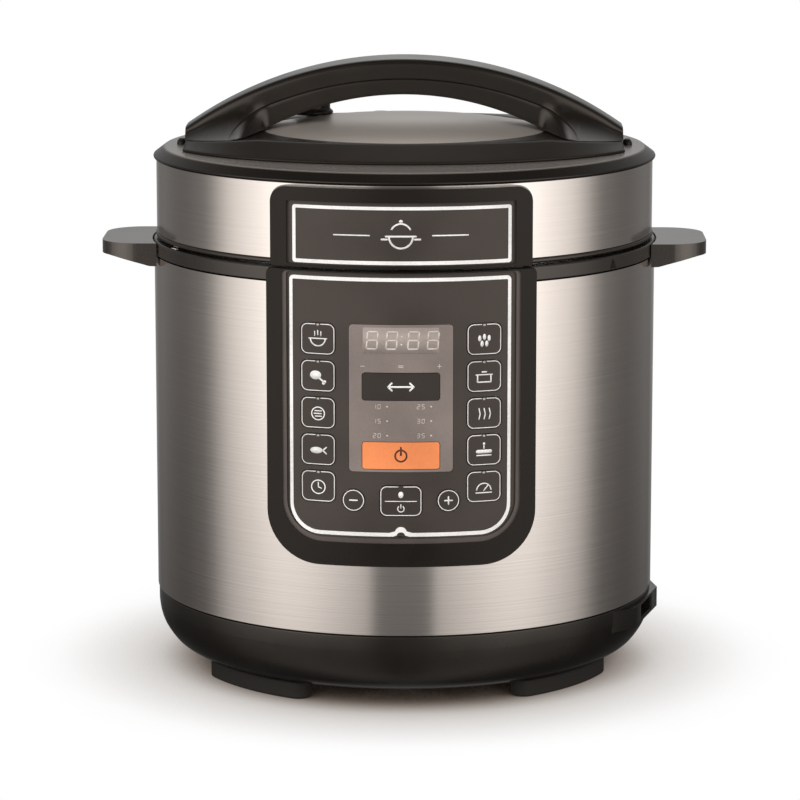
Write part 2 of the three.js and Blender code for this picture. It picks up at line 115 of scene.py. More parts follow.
class Finish(Graph):  # one material, its shader and the record's slot it belongs to
    def __init__(self, name, slot, **fixed):
        self.slot = slot
        self.material = bpy.data.materials.new(name)
        super().__init__(self.material)
        self.shader = self.node("ShaderNodeBsdfPrincipled")
        for key, value in fixed.items():
            self.shader.inputs[key.replace("_", " ")].default_value = value
        self.output = self.node("ShaderNodeOutputMaterial")
        self.tree.links.new(self.shader.outputs[0], self.output.inputs[0])
        self.place = Wire(self, self.node("ShaderNodeTexCoord").outputs["Object"])

    def noise(self, scale, detail):  # centred on the pot's axis
        moved = self.node("ShaderNodeVectorMath", {"operation": "ADD"}, {0: self.place, 1: (0, -axisY, 0)})
        mapped = self.node("ShaderNodeMapping", None, {
            "Vector": Wire(self, moved.outputs[0]), "Scale": scale})
        made = self.node("ShaderNodeTexNoise", None, {
            "Vector": Wire(self, mapped.outputs[0]), "Scale": 1.0, "Detail": detail})
        return Wire(self, made.outputs[0])

    def spread(self, value, low, high):  # stretches the middle of a noise over a range
        return self.ranged(value, 0.32, 0.68, False, To_Min=low, To_Max=high)

    def blendColour(self, factor, first, second):
        made = self.node("ShaderNodeMix", {"data_type": "RGBA"}, {
            0: factor, 6: (*first, 1), 7: (*second, 1)})
        return Wire(self, made.outputs[2])

    def feed(self, **sockets):
        for key, value in sockets.items():
            self.tree.links.new(value.socket, self.shader.inputs[key.replace("_", " ")])

    def bump(self, height, strength, depth=0.0002):
        made = self.node("ShaderNodeBump", None, {
            "Strength": strength, "Distance": depth, "Height": height})
        self.feed(Normal=Wire(self, made.outputs[0]))


def brushedSteel(name, slot, brush, tone, roughness, grain=0.05, relief=0.04, metal=1.0):
    finish = Finish(name, slot, Metallic=metal)
    lines = finish.noise(brush, 4.0)
    clouds = finish.noise((9, 9, 9), 2.0)
    mixed = finish.spread(lines * 0.8 + clouds * 0.2, 0.0, 1.0)
    dark, light = [c * 0.95 for c in tone], [c * 1.04 for c in tone]
    finish.feed(Base_Color=finish.blendColour(mixed, dark, light))
    finish.feed(Roughness=finish.spread(lines, roughness - grain / 2, roughness + grain / 2))
    finish.bump(lines, relief)
    return finish


warmTint = (1.0, 0.88, 0.78, 1)


def mouldedPlastic(name, slot, tone, roughness, grain=2600, depth=0.05, shine=0.5):
    finish = Finish(name, slot, Specular_IOR_Level=shine, Specular_Tint=warmTint)
    texture = finish.noise((grain, grain, grain), 2.0)
    clouds = finish.noise((30, 30, 30), 3.0)
    mixed = finish.spread(clouds * 0.7 + texture * 0.3, 0, 1)
    finish.feed(Base_Color=finish.blendColour(mixed, [c * 0.82 for c in tone], [c * 1.2 for c in tone]))
    finish.feed(Roughness=finish.spread(clouds, roughness - 0.05, roughness + 0.06))
    finish.bump(texture, depth)
    return finish


def paintedTopHighlight(name, slot, height, low, high, roughness):  # one colour below a height, another above; the colour above is a painted highlight for the light a flat top catches
    finish = Finish(name, slot, Specular_Tint=warmTint)
    parts = finish.node("ShaderNodeSeparateXYZ", None, {0: finish.place})
    share = finish.ranged(Wire(finish, parts.outputs["Z"]), height - 0.3 * mm, height + 0.3 * mm, False)
    finish.feed(Base_Color=finish.blendColour(share, low, high))
    texture = finish.noise((2600, 2600, 2600), 2.0)
    finish.feed(Roughness=finish.spread(texture, roughness - 0.04, roughness + 0.04))
    finish.bump(texture, 0.05)
    return finish


bodySteel = brushedSteel("body steel", "steel", (6, 6, 2200), (0.735, 0.658, 0.60), 0.15)
discSteel = brushedSteel("disc steel", "steel", (6, 1800, 6), (0.66, 0.585, 0.52), 0.34, metal=0.5)
potSteel = brushedSteel("pot steel", "inner_steel", (40, 40, 900), (0.72, 0.71, 0.69), 0.22)
plateSteel = brushedSteel("plate steel", "inner_steel", (300, 300, 300), (0.68, 0.67, 0.65), 0.26,
                          relief=0.008)
castAluminium = brushedSteel("cast aluminium", "aluminium", (700, 700, 700), (0.62, 0.62, 0.61), 0.42,
                             relief=0.015)
wireSteel = brushedSteel("wire steel", "steel", (200, 200, 200), (0.62, 0.61, 0.60), 0.2)
blackPlastic = mouldedPlastic("black plastic", "black_plastic", (0.0105, 0.0085, 0.0067), 0.26, shine=0.42)
coverPlastic = mouldedPlastic("cover plastic", "black_plastic", (0.0165, 0.013, 0.0102), 0.30, shine=0.25)
collarPlastic = mouldedPlastic("collar plastic", "black_plastic", (0.022, 0.0182, 0.0152), 0.26, shine=0.85)
basePlastic = mouldedPlastic("base plastic", "black_plastic", (0.0110, 0.0090, 0.0072), 0.24, shine=0.72)
# the rim's flat top, above 280.8 mm, is painted light grey as a highlight for the light it catches; the
# bevel below stays near black
rimPlastic = paintedTopHighlight("rim plastic", "black_plastic", 280.8 * mm, (0.012, 0.0096, 0.0078),
                     (0.19, 0.162, 0.142), 0.24)
handlePlastic = mouldedPlastic("handle plastic", "satin_plastic", (0.0125, 0.0100, 0.0080), 0.20, shine=0.55)
gripPlastic = mouldedPlastic("side grip plastic", "satin_plastic", (0.030, 0.025, 0.0215), 0.16, shine=1.0)
bezelPlastic = mouldedPlastic("bezel plastic", "satin_plastic", (0.0125, 0.0098, 0.0080), 0.30, shine=0.22)
# the ridge's lighter grey is a painted highlight for the light its rounded edge catches
ridgeHighlightPlastic = mouldedPlastic("ridge painted highlight", "satin_plastic", (0.085, 0.070, 0.063), 0.38)
filmDark = mouldedPlastic("dark film", "panel_plastic", (0.046, 0.037, 0.032), 0.42, 1800, 0.03)
filmKey = mouldedPlastic("key film", "key_plastic", (0.038, 0.030, 0.026), 0.40, 1800, 0.03)
filmSelect = mouldedPlastic("select film", "key_plastic", (0.030, 0.024, 0.021), 0.42, 1800, 0.03)
filmOrange = mouldedPlastic("orange film", "orange_plastic", (0.88, 0.27, 0.095), 0.45, 1800, 0.03)
filmDisplay = mouldedPlastic("display film", "display_plastic", (0.222, 0.180, 0.162), 0.40, 1400, 0.02)
filmLcd = mouldedPlastic("digit window", "display_plastic", (0.37, 0.31, 0.28), 0.35, 900, 0.02)
printWhite, printCream, printGrey = [
    mouldedPlastic(name + " print", "display_plastic", tone, 0.5, 900, 0.02) for name, tone in (
        ("white", (0.92, 0.89, 0.86)), ("cream", (0.66, 0.59, 0.52)), ("grey", (0.52, 0.47, 0.42)))]
printDark = mouldedPlastic("dark print", "panel_plastic", (0.10, 0.025, 0.012), 0.5, 900, 0.02)
blackRubber = mouldedPlastic("black rubber", "rubber", (0.012, 0.011, 0.010), 0.78, 900, 0.25)
whiteSilicone = mouldedPlastic("silicone", "silicone", (0.62, 0.61, 0.57), 0.46, 700, 0.06)
cupPlastic = mouldedPlastic("cup plastic", "clear_plastic", (0.78, 0.80, 0.80), 0.16, 500, 0.02)
cupPlastic.shader.inputs["Transmission Weight"].default_value = 0.85
cupPlastic.shader.inputs["IOR"].default_value = 1.46
warmBrass = brushedSteel("contact brass", "brass", (900, 90, 90), (0.72, 0.52, 0.24), 0.3)


def circuitBoard():
    finish = Finish("circuit board", "circuit_board", Roughness=0.42)
    traces = finish.node("ShaderNodeTexVoronoi", {"distance": "MANHATTAN", "feature": "DISTANCE_TO_EDGE"},
                         {"Vector": finish.place, "Scale": 260.0})
    lines = finish.maths("LESS_THAN", Wire(finish, traces.outputs[0]), 0.12)
    finish.feed(Base_Color=finish.blendColour(lines, (0.02, 0.10, 0.045), (0.05, 0.22, 0.09)))
    finish.bump(lines, 0.2, 0.0001)
    return finish


boardGreen = circuitBoard()
print("finishes made")


# shapes

def arc(centre, radius, start, end, steps=8):
    turns = [math.radians(start + (end - start) * i / steps) for i in range(steps + 1)]
    return [(centre[0] + radius * math.cos(a), centre[1] + radius * math.sin(a)) for a in turns]


def roundedBox(xRange, zRange, low, high=None, steps=8):
    high = low if high is None else high
    (x0, x1), (z0, z1) = xRange, zRange
    corners = ((x1 - low, z0 + low, low, -90), (x1 - high, z1 - high, high, 0),
               (x0 + high, z1 - high, high, 90), (x0 + low, z0 + low, low, 180))
    return [point for x, z, radius, start in corners
            for point in arc((x, z), radius, start, start + 90, steps)]


def grownBy(xRange, zRange, extra):
    return (xRange[0] - extra, xRange[1] + extra), (zRange[0] - extra, zRange[1] + extra)


def smoothed(points, steps=5):  # a soft curve through every point
    ends = [points[0]] + list(points) + [points[-1]]
    made = []
    for a, b, c, d in zip(ends, ends[1:], ends[2:], ends[3:]):
        for i in range(steps):
            t = i / steps
            made.append(tuple(0.5 * (2 * q + (r - p) * t + (2 * p - 5 * q + 4 * r - u) * t * t
                                     + (3 * q - p - 3 * r + u) * t ** 3) for p, q, r, u in zip(a, b, c, d)))
    return made + [tuple(points[-1])]


def loopOf(bm, points):
    corners = [bm.verts.new(point) for point in points]
    edges = [bm.edges.new(pair) for pair in zip(corners, corners[1:] + corners[:1])]
    return corners, edges


def spun(profile, sides=roundSides, sweep=360.0, start=0.0, at=(0, 0)):
    bm = bmesh.new()
    turn = Matrix.Rotation(math.radians(start), 3, "Z")
    points = [turn @ Vector((0, -r * mm, z * mm)) for r, z in profile]
    corners = [bm.verts.new(point) for point in points]
    edges = [bm.edges.new(pair) for pair in zip(corners, corners[1:])]
    onAxis = profile[0][0] == 0 and profile[-1][0] == 0
    if not onAxis:
        edges.append(bm.edges.new((corners[-1], corners[0])))
    full = sweep >= 360
    bmesh.ops.spin(bm, geom=corners + edges, cent=(0, 0, 0), axis=(0, 0, 1), dvec=(0, 0, 0),
                   angle=math.radians(sweep), steps=sides, use_merge=full, use_duplicate=False)
    bmesh.ops.remove_doubles(bm, verts=bm.verts, dist=1e-7)
    if not full:
        bmesh.ops.holes_fill(bm, edges=[e for e in bm.edges if e.is_boundary], sides=0)
    bmesh.ops.recalc_face_normals(bm, faces=bm.faces)
    moveBy(bm, *at)
    return bm


def joined(*parts):
    bm = bmesh.new()
    for part in parts:
        mesh = bpy.data.meshes.new("part")
        part.to_mesh(mesh)
        part.free()
        bm.from_mesh(mesh)
        bpy.data.meshes.remove(mesh)
    return bm


def scored(bm, x):  # an edge all the way across, at one x
    bmesh.ops.bisect_plane(bm, geom=bm.verts[:] + bm.edges[:] + bm.faces[:], dist=1e-7,
                           plane_co=(x * mm, 0, 0), plane_no=(1, 0, 0))


def extruded(bm, faces):  # gives the new corners
    raised = bmesh.ops.extrude_face_region(bm, geom=faces)["geom"]
    return [v for v in raised if isinstance(v, bmesh.types.BMVert)]


def bentPlate(outlines, inner, outer, step=2.5):
  # outlines lists an outer edge and any holes, in the front view; the plate wraps round the pot's axis
    bm = bmesh.new()
    edges = []
    for outline in outlines:
        edges += loopOf(bm, [(x * mm, 0, z * mm) for x, z in outline])[1]
    if len(outlines) == 1:
        bm.faces.new(bm.verts)
    else:
        bmesh.ops.triangle_fill(bm, use_beauty=True, use_dissolve=False, edges=edges)
    across = [x for x, z in outlines[0]]
    cut = math.ceil(min(across) / step) * step
    while cut < max(across):
        scored(bm, cut)
        cut += step
    front = set(extruded(bm, bm.faces[:]))
    for v in bm.verts:
        radius = (outer if v in front else inner) * mm
        v.co.y = -math.sqrt(radius * radius - v.co.x * v.co.x)
    bmesh.ops.recalc_face_normals(bm, faces=bm.faces)
    return bm


def raisedPlan(outline, low, high, cuts=()):
    bm = bmesh.new()
    loopOf(bm, [(x * mm, y * mm, low * mm) for x, y in outline])
    bm.faces.new(bm.verts)
    for place in cuts:
        scored(bm, place)
    bmesh.ops.translate(bm, verts=extruded(bm, bm.faces[:]), vec=(0, 0, (high - low) * mm))
    bmesh.ops.recalc_face_normals(bm, faces=bm.faces)
    return bm


def bridged(sections, endless=False):
    bm = bmesh.new()
    loops = [loopOf(bm, [Vector(point) * mm for point in section]) for section in sections]
    pairs = list(zip(loops, loops[1:]))
    if endless:
        pairs.append((loops[-1], loops[0]))
    for (_, first), (_, second) in pairs:
        bmesh.ops.bridge_loops(bm, edges=first + second)
    if not endless:
        bm.faces.new(loops[0][0])
        bm.faces.new(loops[-1][0])
    bmesh.ops.recalc_face_normals(bm, faces=bm.faces)
    return bm


def objectOf(name, bm):
    mesh = bpy.data.meshes.new(name)
    bm.to_mesh(mesh)
    bm.free()
    made = bpy.data.objects.new(name, mesh)
    bpy.context.scene.collection.objects.link(made)
    return made


def addPiece(name, bm, finish, body, stands=(), bevel=0.0, segments=3):
    moveBy(bm, 0, axisY / mm)
    piece = objectOf(name, bm)
    piece.data.materials.append(finish.material)
    piece.data.polygons.foreach_set("use_smooth", [True] * len(piece.data.polygons))
    if bevel:
        edge = piece.modifiers.new("edge", "BEVEL")
        edge.width = bevel * mm
        edge.segments = segments
        edge.limit_method = "ANGLE"
        edge.angle_limit = math.radians(32)
        edge.harden_normals = True
    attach(piece, body)
    if stands:
        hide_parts(*stands)
    return piece


def cutAway(piece, cutter):
    moveBy(cutter, 0, axisY / mm)
    tool = objectOf("cutter", cutter)
    cut = piece.modifiers.new("cut", "BOOLEAN")
    cut.object = tool
    cut.solver = "EXACT"
    while piece.modifiers[0] != cut:
        piece.modifiers.move(len(piece.modifiers) - 1, 0)
    for other in piece.modifiers[1:]:  # only the cut is applied, the bevel stays live
        other.show_viewport = False
    graph = bpy.context.evaluated_depsgraph_get()
    result = bpy.data.meshes.new_from_object(piece.evaluated_get(graph))
    piece.modifiers.remove(cut)
    for other in piece.modifiers:
        other.show_viewport = True
    piece.data = result
    bpy.data.objects.remove(tool)


def turnBy(bm, azimuth):
    turned = Matrix.Rotation(math.radians(azimuth), 3, "Z")
    bmesh.ops.rotate(bm, verts=bm.verts, cent=(0, 0, 0), matrix=turned)


def moveBy(bm, x, y, z=0.0):
    bmesh.ops.translate(bm, verts=bm.verts, vec=(x * mm, y * mm, z * mm))


def strip(near, far, half):
    return [(near, -half), (far, -half), (far, half), (near, half)]


def tenSlots(reach, half, low, high, at=(0, 0), steps=8):  # cutters for a star of ten rounded slots
    bars = []
    for i in range(10):
        bar = raisedPlan(roundedBox(reach, (-half, half), half - 0.1, steps=steps), low, high)
        turnBy(bar, 36 * i)
        moveBy(bar, *at)
        bars.append(bar)
    return joined(*bars)


def sixLugs(inner, outer, low, high, sweep=26):
    section = [(inner, low), (outer, low), (outer, high), (inner, high)]
    return [spun(section, 12, sweep, 60 * i - sweep / 2) for i in range(6)]


inlet = {"azimuth": 74.3, "face": 136.3, "halfWidth": 13.0, "low": 30.3, "high": 39.0}


# base
base = {"footEdge": 1.4, "footHeight": 9.2, "footInner": 104.0, "footOuter": 117.5,
        "footHalfAngle": 19.0, "footTurn": 3.0,
        "feet": {"front_left": -48, "front_right": 48, "rear_right": 132, "rear_left": -132}}


def footOutline(centre):
    width = (base["footOuter"] - base["footInner"]) / 2
    middle = (base["footOuter"] + base["footInner"]) / 2
    half = base["footHalfAngle"] - math.degrees(width / middle)
    start, end = centre - half - 90, centre + half - 90
    first, last = arc((0, 0), middle, start, end, 1)
    return (arc((0, 0), base["footOuter"], start, end, 24) + arc(last, width, end, end + 180, 10)[1:-1]
            + arc((0, 0), base["footInner"], end, start, 24)
            + arc(first, width, start + 180, start + 360, 10)[1:-1])


def makeBase():
    profile = [(96, 9.5), (116.6, 9.5), (117.2, 9.8), (117.6, 10.4), (118.6, 10.5)]
    profile += smoothed([(120.6, 10.9), (124.2, 12.9), (127.5, 16), (131.5, 22), (133.6, 28), (134.4, 34)])
    profile += [(134.4, 41.3), (134.0, 41.7), (131.6, 41.7), (131.6, 34), (128.6, 24), (121, 14.5), (96, 13)]
    ring = addPiece("baseRing", spun(profile), basePlastic, "housing", ["base_ring"], 0.25, 2)
    half, gap = inlet["halfWidth"] + 0.5, 0.4
    way = raisedPlan(strip(112, 142, half), inlet["low"] - gap, inlet["high"] + gap)
    turnBy(way, inlet["azimuth"] - 90)
    cutAway(ring, way)
    for name, azimuth in base["feet"].items():
        pad = raisedPlan(footOutline(azimuth + base["footTurn"]), 0, base["footHeight"])
        addPiece("foot_" + name + "_pad", pad, blackRubber, "housing", ["foot_" + name], base["footEdge"], 4)
    plate = spun([(0, 10.2), (95.4, 10.2), (95.4, 11.4), (0, 11.4)])
    sheet = addPiece("bottomPlate", plate, wireSteel, "housing", ["bottom_plate"], 0.2, 2)
    cutAway(sheet, tenSlots((62, 84), 3.8, 8, 14))


makeBase()
print("base made")


# body and collar
steel = {"outer": 135, "inner": 134, "low": 42.3, "high": 224.2}


def makeBody():
    outer, inner, low, high = steel.values()
    shell = [(outer, low), (outer, high), (inner, high), (inner, low)]
    addPiece("steelBody", spun(shell), bodySteel, "housing", ["outer_shell"], 0.3, 2)
    collar = [(135.4, 224.9), (135.4, 231.3), (134.7, 232.2), (128, 232.2), (127.2, 231.4), (127.2, 219.5),
              (125.7, 218), (116.6, 218), (116.6, 216), (129.2, 216), (129.2, 224.9)]
    addPiece("collarBand", spun(collar), collarPlastic, "housing", ["housing_collar"], 0.35, 3)


def makeSideHandle(name, side):
    grip = {"reach": 162.2, "halfWidth": 34.0, "corner": 20.0, "root": 136.0, "top": 231.8, "tip": 7.0,
            "deep": 5.3, "start": 158.0, "end": 135.5}
    lean = math.degrees(math.asin(grip["halfWidth"] / grip["root"]))
    inner = grip["reach"] - grip["corner"]
    outline = arc((0, 0), grip["root"], lean, -lean, 14)
    outline += arc((inner, grip["corner"] - grip["halfWidth"]), grip["corner"], -90, 0, 12)
    outline += arc((inner, grip["halfWidth"] - grip["corner"]), grip["corner"], 0, 90, 12)
    bm = raisedPlan(outline, grip["top"] - grip["tip"], grip["top"], range(134, 160, 2))
    for v in bm.verts:
        if v.co.z < (grip["top"] - grip["tip"] / 2) * mm:
            near = min(1.0, max(0.0, (grip["start"] - v.co.x / mm) / (grip["start"] - grip["end"])))
            v.co.z -= grip["deep"] * mm * near ** 1.25
        v.co.x *= side
    bmesh.ops.recalc_face_normals(bm, faces=bm.faces)
    stands = ["side_handle_" + name]
    addPiece("side" + name.capitalize() + "Handle", bm, gripPlastic, "housing", stands, 1.4, 4)


def makeMarks():
    arrow = bentPlate([[(-2.6, 225.8), (2.6, 225.8), (0, 230.6)]], 135.2, 135.65)
    turnBy(arrow, 54)
    addPiece("alignmentArrow", arrow, bezelPlastic, "housing", (), 0.1, 2)
    tick = spun([(131.6, 232.15), (133.6, 232.15), (133.6, 232.3), (131.6, 232.3)], 8, 2.4)
    turnBy(tick, -66)
    addPiece("alignmentTick", tick, printWhite, "housing")


makeBody()
makeSideHandle("left", -1)
makeSideHandle("right", 1)
makeMarks()
print("body made")


# inlet
def makeInlet():
    turn = inlet["azimuth"] - 90  # drawn facing +X first
    face, half, low, high = inlet["face"], inlet["halfWidth"], inlet["low"], inlet["high"]
    plan = [(121, -54), (face, -26), (face, 26), (121, 54), (116, 50), (116, -50)]
    housing = raisedPlan(plan, low - 1, high + 1)
    for v in housing.verts:
        if v.co.z > high * mm and v.co.x < 134 * mm:
            v.co.z = 41.5 * mm  # the ledge slopes down towards its edge
    turnBy(housing, turn)
    block = addPiece("inletHousing", housing, blackPlastic, "housing", ["inlet_housing"], 0.7, 3)
    cutAway(block, spun([(0, 5), (134.2, 5), (134.2, 60), (0, 60)], 96))
    hole = raisedPlan(strip(100, 150, half), low, high)
    turnBy(hole, turn)
    cutAway(block, hole)
    socket = raisedPlan(strip(119, face - 0.3, half - 0.1), low + 0.1, high - 0.1)
    turnBy(socket, turn)
    insert = addPiece("inletSocket", socket, bezelPlastic, "housing", ["inlet_socket"], 0.3, 2)
    recess = raisedPlan(roundedBox((124, 150), (2 - half, half - 2), 0.4, steps=3), low + 1, high - 1)
    turnBy(recess, turn)
    cutAway(insert, recess)


makeInlet()


# condensation cup
def makeCup():
    cup = {"front": 139.2, "back": 160.2, "halfWidth": 32.0, "corner": 12.0, "low": 146.0, "high": 202.0}
    half, corner = cup["halfWidth"], cup["corner"]
    lean = math.degrees(math.asin(half / cup["front"]))
    plan = arc((0, 0), cup["front"], 90 + lean, 90 - lean, 16)
    plan += arc((half - corner, cup["back"] - corner), corner, 0, 90, 8)
    plan += arc((corner - half, cup["back"] - corner), corner, 90, 180, 8)
    bm = raisedPlan(plan, cup["low"], cup["high"])
    lid = [f for f in bm.faces if f.normal.z > 0.9]
    bmesh.ops.inset_region(bm, faces=lid, thickness=1.7 * mm, depth=0, use_even_offset=True)
    lid = max((f for f in bm.faces if f.normal.z > 0.9), key=lambda f: f.calc_area())
    floor = extruded(bm, [lid])
    bmesh.ops.translate(bm, verts=floor, vec=(0, 0, (cup["low"] + 1.8 - cup["high"]) * mm))
    if lid.is_valid:
        bmesh.ops.delete(bm, geom=[lid], context="FACES_ONLY")
    addPiece("condensationCup", bm, cupPlastic, "cup", ["condensation_cup"], 0.5, 3)
    bracket = raisedPlan(arc((0, 0), 138.5, 79, 101, 16) + arc((0, 0), 135.2, 101, 79, 16), 140, 222)
    addPiece("cupBracket", bracket, blackPlastic, "housing", ["cup_bracket"], 0.8, 3)


makeCup()
print("cup made")


# control panel
# depths are radii round the pot's axis; the window is the bezel's opening, and the ridge lines it
panel = {"back": 135.6, "face": 137.7, "print": 0.05, "key": 138.25, "bezel": 139.7,
         "frame": ((-69, 69), (79.8, 231.9), 27, 3, 14),
         "window": ((-61.1, 61.1), (91.9, 231.5), 20.8, 2.6, 14),
         "ridgeOut": ((-61.6, 61.6), (91.4, 231.2), 21.2, 2.4, 14),
         "ridgeIn": ((-58.6, 58.6), (94.4, 231.0), 18.2, 2, 14)}
upper = {"back": 133.7, "plate": 134.0, "face": 137.6, "bezel": 139.2,
         "frame": ((-66.8, 66.8), (233.5, 274.2), 1.0, 8, 10),
         "window": ((-58.4, 58.4), (235.0, 267.2), 1, 1, 4)}


def strokes(parts):  # bars, discs and rings as outlines, some with holes
    made = []
    for kind, *size in parts:
        if kind == "bar":
            x0, z0, x1, z1, width = size
            along = Vector((x1 - x0, z1 - z0)).normalized() * width / 2
            side = Vector((-along.y, along.x))
            heading = math.degrees(math.atan2(along.y, along.x))
            made.append([arc((x1, z1), width / 2, heading - 90, heading + 90, 4)
                         + arc((x0, z0), width / 2, heading + 90, heading + 270, 4)])
        elif kind == "disc":
            x, z, wide, tall = size
            made.append([[(x + wide * math.cos(a), z + tall * math.sin(a))
                          for a in (math.tau * i / 20 for i in range(20))]])
        elif kind == "ring":
            x, z, radius, width = size
            made.append([arc((x, z), radius, 0, 342, 19), arc((x, z), radius - width, 0, 342, 19)])
        elif kind == "arc":
            x, z, radius, start, end, width = size
            made.append([arc((x, z), radius, start, end, 12) + arc((x, z), radius - width, end, start, 12)])
    return made


def printed(name, shapes, finish, body, radius, move=(0, 0)):
    plates = []
    for outlines in shapes:
        moved = [[(x + move[0], z + move[1]) for x, z in outline] for outline in outlines]
        plates.append(bentPlate(moved, radius, radius + panel["print"], 4))
    return addPiece(name, joined(*plates), finish, body)


def keyFrame(xRange, zRange, corner, width, opening=2.6):
  # a rounded outline with a break at the top middle for the lamp
    (x0, x1), (z0, z1) = xRange, zRange
    middle, half = (x0 + x1) / 2, opening / 2
    corners = ((x1 - corner, z1 - corner, 90), (x1 - corner, z0 + corner, 0),
               (x0 + corner, z0 + corner, 270), (x0 + corner, z1 - corner, 180))
    line = [(middle + half, z1)]
    for x, z, start in corners:
        line += arc((x, z), corner, start, start - 90, 6)
    line += [(middle - half, z1), (middle - half, z1 - width)]
    for x, z, start in reversed(corners):
        line += arc((x, z), corner - width, start - 90, start, 6)
    return line + [(middle + half, z1 - width)]


pictures = {  # plain kitchen signs, in millimetres about each key's middle
    "left_1": [("arc", 0, 0.6, 4.2, 180, 360, 0.7), ("bar", -4.6, 0.6, 4.6, 0.6, 0.6),
               ("bar", -1.6, 2, -1.6, 4.2, 0.5), ("bar", 0, 2.4, 0, 4.8, 0.5),
               ("bar", 1.6, 2, 1.6, 4.2, 0.5)],
    "left_2": [("disc", -1.2, 0.8, 2.9, 2.3), ("bar", 0.8, -0.8, 3.2, -2.8, 0.9),
               ("disc", 3.5, -2.5, 0.8, 0.8), ("disc", 2.9, -3.3, 0.8, 0.8)],
    "left_3": [("ring", 0, 0, 3.6, 0.6), ("bar", -1.6, 1.4, 1.8, 1.4, 0.6), ("bar", -2, 0, 1.6, 0, 0.6),
               ("bar", -1.4, -1.4, 1.8, -1.4, 0.6)],
    "left_4": [("disc", -0.9, 0, 3.2, 1.7), ("bar", 2.4, 0, 4.2, 1.7, 0.7), ("bar", 2.4, 0, 4.2, -1.7, 0.7)],
    "left_5": [("ring", 0, 0, 3.8, 0.55), ("bar", 0, 0, 0, 2.4, 0.55), ("bar", 0, 0, 1.7, -0.7, 0.55)],
    "right_1": [("disc", x, z, 0.8, 1.6)
                for x, z in ((-2.4, 0.9), (0, 1.6), (2.4, 0.9), (-1.2, -1.9), (1.2, -1.9))],
    "right_2": [("bar", -3.4, -2.6, 3.4, -2.6, 0.7), ("bar", -3.4, -2.6, -3.4, 1.2, 0.7),
                ("bar", 3.4, -2.6, 3.4, 1.2, 0.7), ("bar", -4.2, 1.2, 4.2, 1.2, 0.6),
                ("bar", -1, 2.6, 1, 2.6, 0.8)],
    "right_3": [("bar", x + a, z0, x + b, z1, 0.6) for x in (-2.6, 0, 2.6)
                for a, z0, b, z1 in ((0, -2.6, 0.6, 0), (0.6, 0, 0, 2.8))],
    "right_4": [("bar", -3.6, -2.4, 3.6, -2.4, 0.7), ("bar", -3.2, -0.4, 3.2, -0.4, 1.9),
                ("bar", 0, 1.2, 0, 2.6, 0.6), ("disc", 0, 3.6, 0.6, 0.7)],
    "right_5": [("arc", 0, -1.6, 4, 0, 180, 0.6), ("bar", 0, -1.6, 2, 0.8, 0.6),
                ("bar", -4, -2.8, 4, -2.8, 0.6)],
    "keep_warm": [("bar", -8, 0, 8, 0, 0.4), ("disc", 0, 3.4, 1.3, 1.7),
                  ("arc", 0, -3.9, 1.9, 125, 415, 0.5), ("bar", 0, -3.6, 0, -1.7, 0.5)],
    "select": [("bar", -6.5, 0, 6.5, 0, 0.9)] + [("bar", side * 6.5, 0, side * 4.6, z, 0.9)
                                                 for side in (-1, 1) for z in (1.9, -1.9)],
    "cook": [("ring", 0, 0, 3.4, 0.9), ("bar", 0, 0.4, 0, 4.3, 0.95)],
}


def outlineOf(key):  # the keys' own outlines, as the frame places them
    low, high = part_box(key)
    return (low.x / mm, high.x / mm), (low.z / mm, high.z / mm)


def makeKeys():
    key = {"gap": 0.25, "inset": 0.35, "line": 0.42, "lineCorner": 3.2, "depth": 0.7}
    inWindow = {"key_select": filmSelect, "key_cook": filmOrange}
    holes = {"face": [], "window": []}
    onKey = panel["key"] + 0.005
    for body in [b for b in frame["bodies"] if b.startswith("key_")]:
        xRange, zRange = outlineOf(body)
        middle = (sum(xRange) / 2, sum(zRange) / 2)
        tall = zRange[1] - zRange[0]
        disc = body in ("key_less", "key_more")
        corner = tall / 2 - 0.01 if disc else 1.4 if body in inWindow else 3.6
        if disc:
            xRange = (middle[0] - tall / 2, middle[0] + tall / 2)
        hole = roundedBox(*grownBy(xRange, zRange, key["gap"]), corner + key["gap"])
        holes["window" if body in inWindow else "face"].append(hole)
        outline = roundedBox(xRange, zRange, corner)
        plate = bentPlate([outline], panel["face"] - key["depth"], panel["key"], 2)
        addPiece(body + "Cap", plate, inWindow.get(body, filmKey), body, [body], 0.22, 2)
        if disc:
            sign = [("ring", 0, 0, tall / 2 - key["inset"], key["line"]), ("bar", -1.9, 0, 1.9, 0, 0.75)]
            if body == "key_more":
                sign.append(("bar", 0, -1.9, 0, 1.9, 0.75))
            printed(body + "Sign", strokes(sign), printWhite, body, onKey, middle)
            continue
        inner = grownBy(xRange, zRange, -key["inset"])
        column = body.startswith(("key_left", "key_right"))
        if body not in inWindow:
            outline = keyFrame(*inner, key["lineCorner"], key["line"])
            printed(body + "Line", [[outline]], printWhite, body, onKey)
        low = {"key_keep_warm": 0.1}.get(body, 0.4 if column else 0)
        sign = strokes(pictures[body.removeprefix("key_")])
        ink = printDark if body == "key_cook" else printWhite
        printed(body + "Sign", sign, ink, body, onKey, (middle[0], middle[1] - low))
        if column:
            lamp = strokes([("disc", 0, 0, 0.75, 0.55)])
            printed(body + "Lamp", lamp, printGrey, body, onKey, (middle[0], inner[1][1] - 0.5))
    return holes


segments = {"a": ((0, 1), (1, 1)), "b": ((1, 1), (1, 0.5)), "c": ((1, 0.5), (1, 0)), "d": ((0, 0), (1, 0)),
            "e": ((0, 0), (0, 0.5)), "f": ((0, 0.5), (0, 1)), "g": ((0, 0.5), (1, 0.5))}
digitParts = {"0": "abcdef", "1": "bc", "2": "abged", "3": "abgcd", "5": "afgcd", "8": "abcdefg"}


